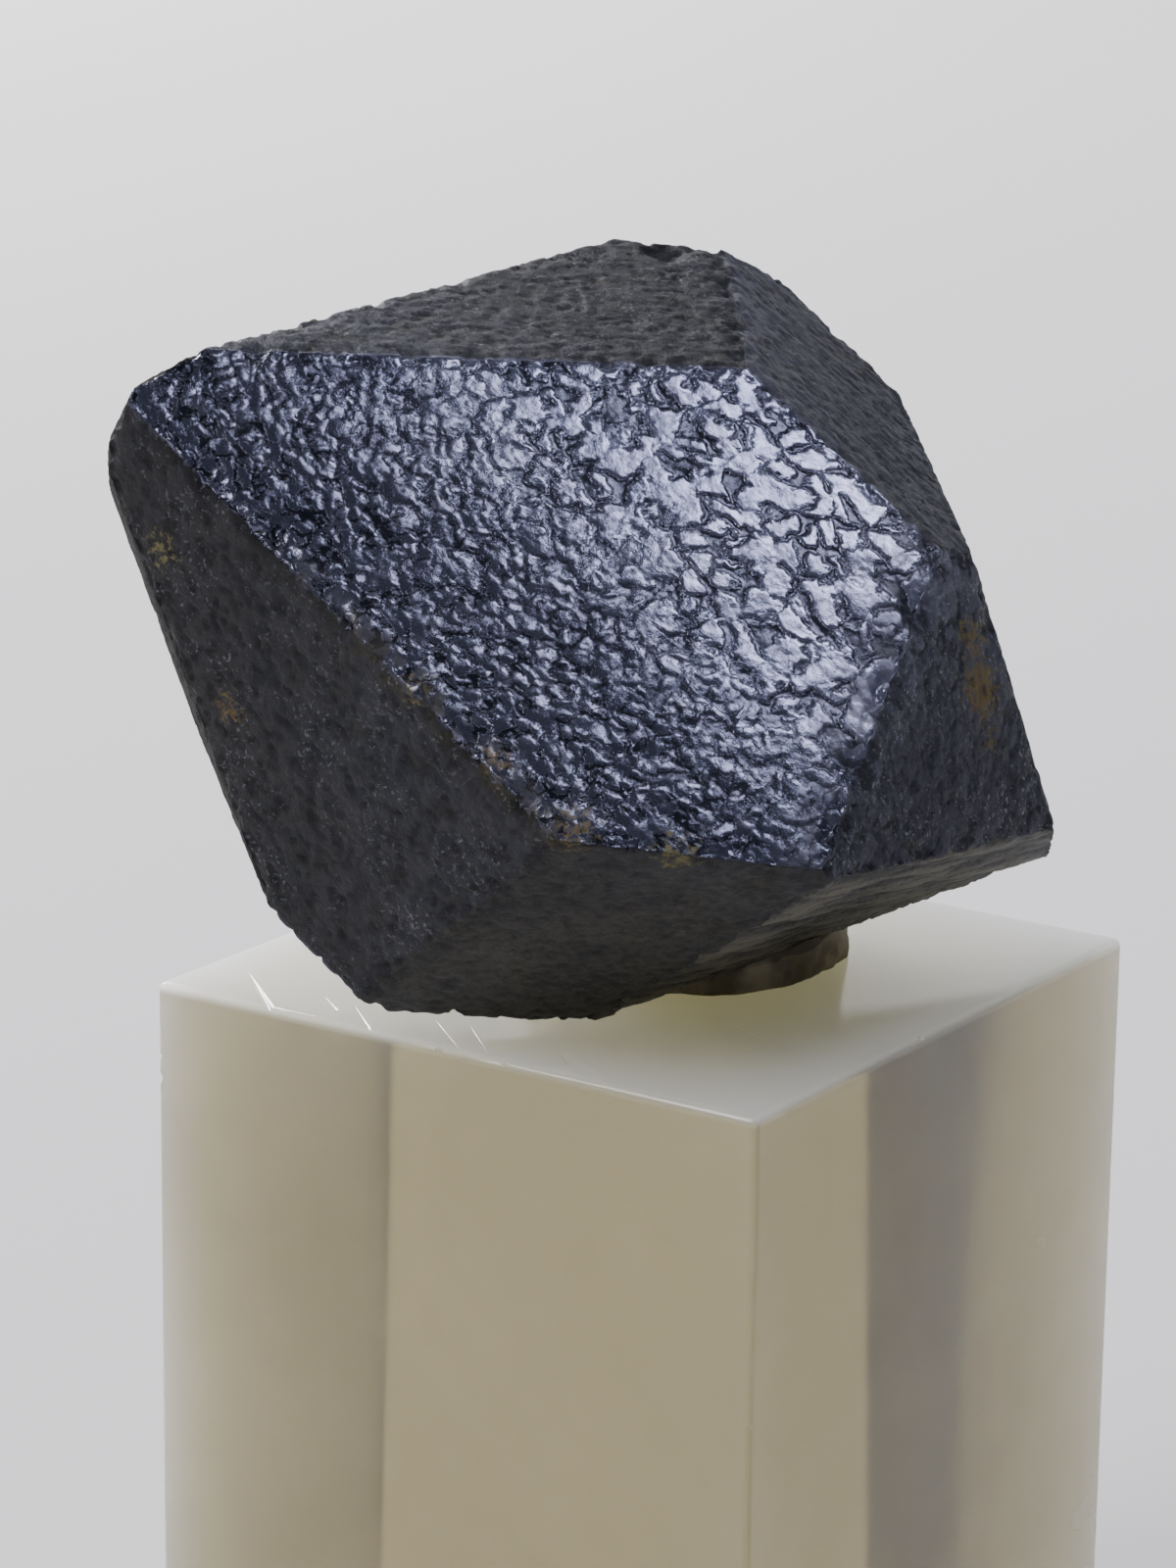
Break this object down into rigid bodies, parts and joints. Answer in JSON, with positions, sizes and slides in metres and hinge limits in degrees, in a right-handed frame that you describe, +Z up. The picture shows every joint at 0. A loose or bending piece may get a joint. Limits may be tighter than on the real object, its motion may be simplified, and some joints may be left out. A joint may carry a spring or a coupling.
{
  "type": "dark metallic mineral crystal on a block",
  "caption": "Faceted dark metallic crystal with worn edges, set on one corner with putty on a small clear square stand.",
  "frame": {"origin": "middle of the display block's underside, where it stands on a surface", "axes": "+Z up; the block's sides lie along X and Y; the crystal's broad bright face looks towards +X and -Y"},
  "size_m": [0.0357, 0.0376, 0.0696],
  "materials": {
    "crystal_metal": "submetallic lustre, pitted and striated, near black with a bluish sheen",
    "putty": "matt, granular, olive brown",
    "clear_resin": "clear, slightly yellowed and scratched"
  },
  "bodies": {
    "root": {"crystal": "crystal_metal", "mounting_putty": "putty", "display_block": "clear_resin"}
  },
  "joints": []
}
